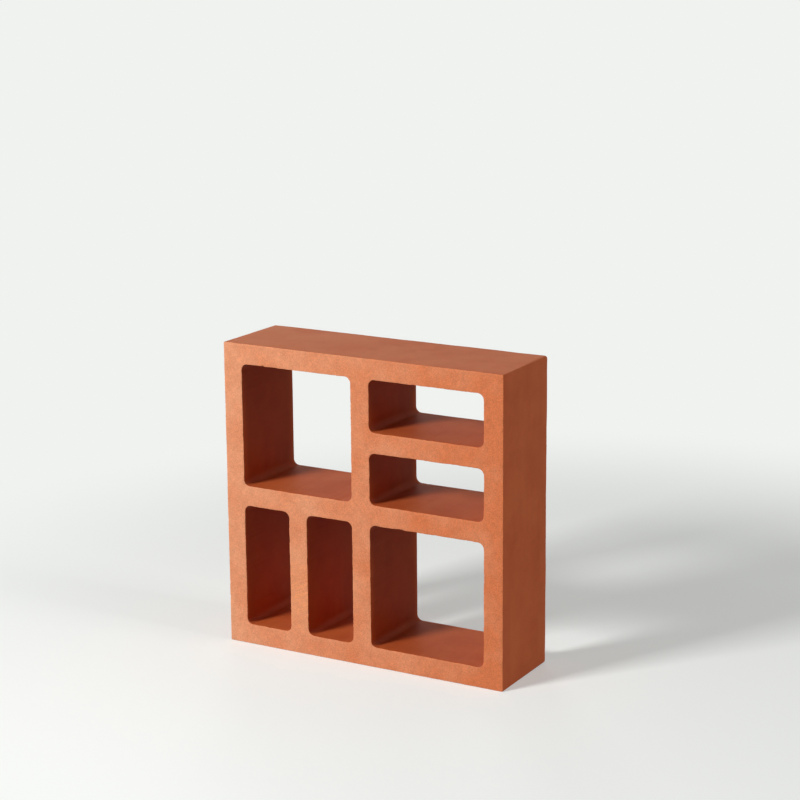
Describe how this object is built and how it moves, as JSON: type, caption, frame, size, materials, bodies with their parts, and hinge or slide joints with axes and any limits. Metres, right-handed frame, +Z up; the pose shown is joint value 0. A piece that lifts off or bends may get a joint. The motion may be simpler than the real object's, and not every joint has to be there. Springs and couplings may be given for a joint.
{
  "type": "breeze block",
  "caption": "Square screen-wall block in one solid piece, with square openings and narrow slots right through it, so that a wall laid of such blocks passes light and air.",
  "frame": {"origin": "middle of the bed face that the block stands on", "axes": "+Z up, +X along the wall to the right as seen from the struck face, +Y through the wall from the struck face to the moulded face"},
  "size_m": [0.3, 0.09, 0.3],
  "materials": {
    "pigmented_concrete": "matt, fine-grained, dyed through in a terracotta orange"
  },
  "bodies": {
    "root": {"breeze_block": "pigmented_concrete"}
  },
  "joints": []
}
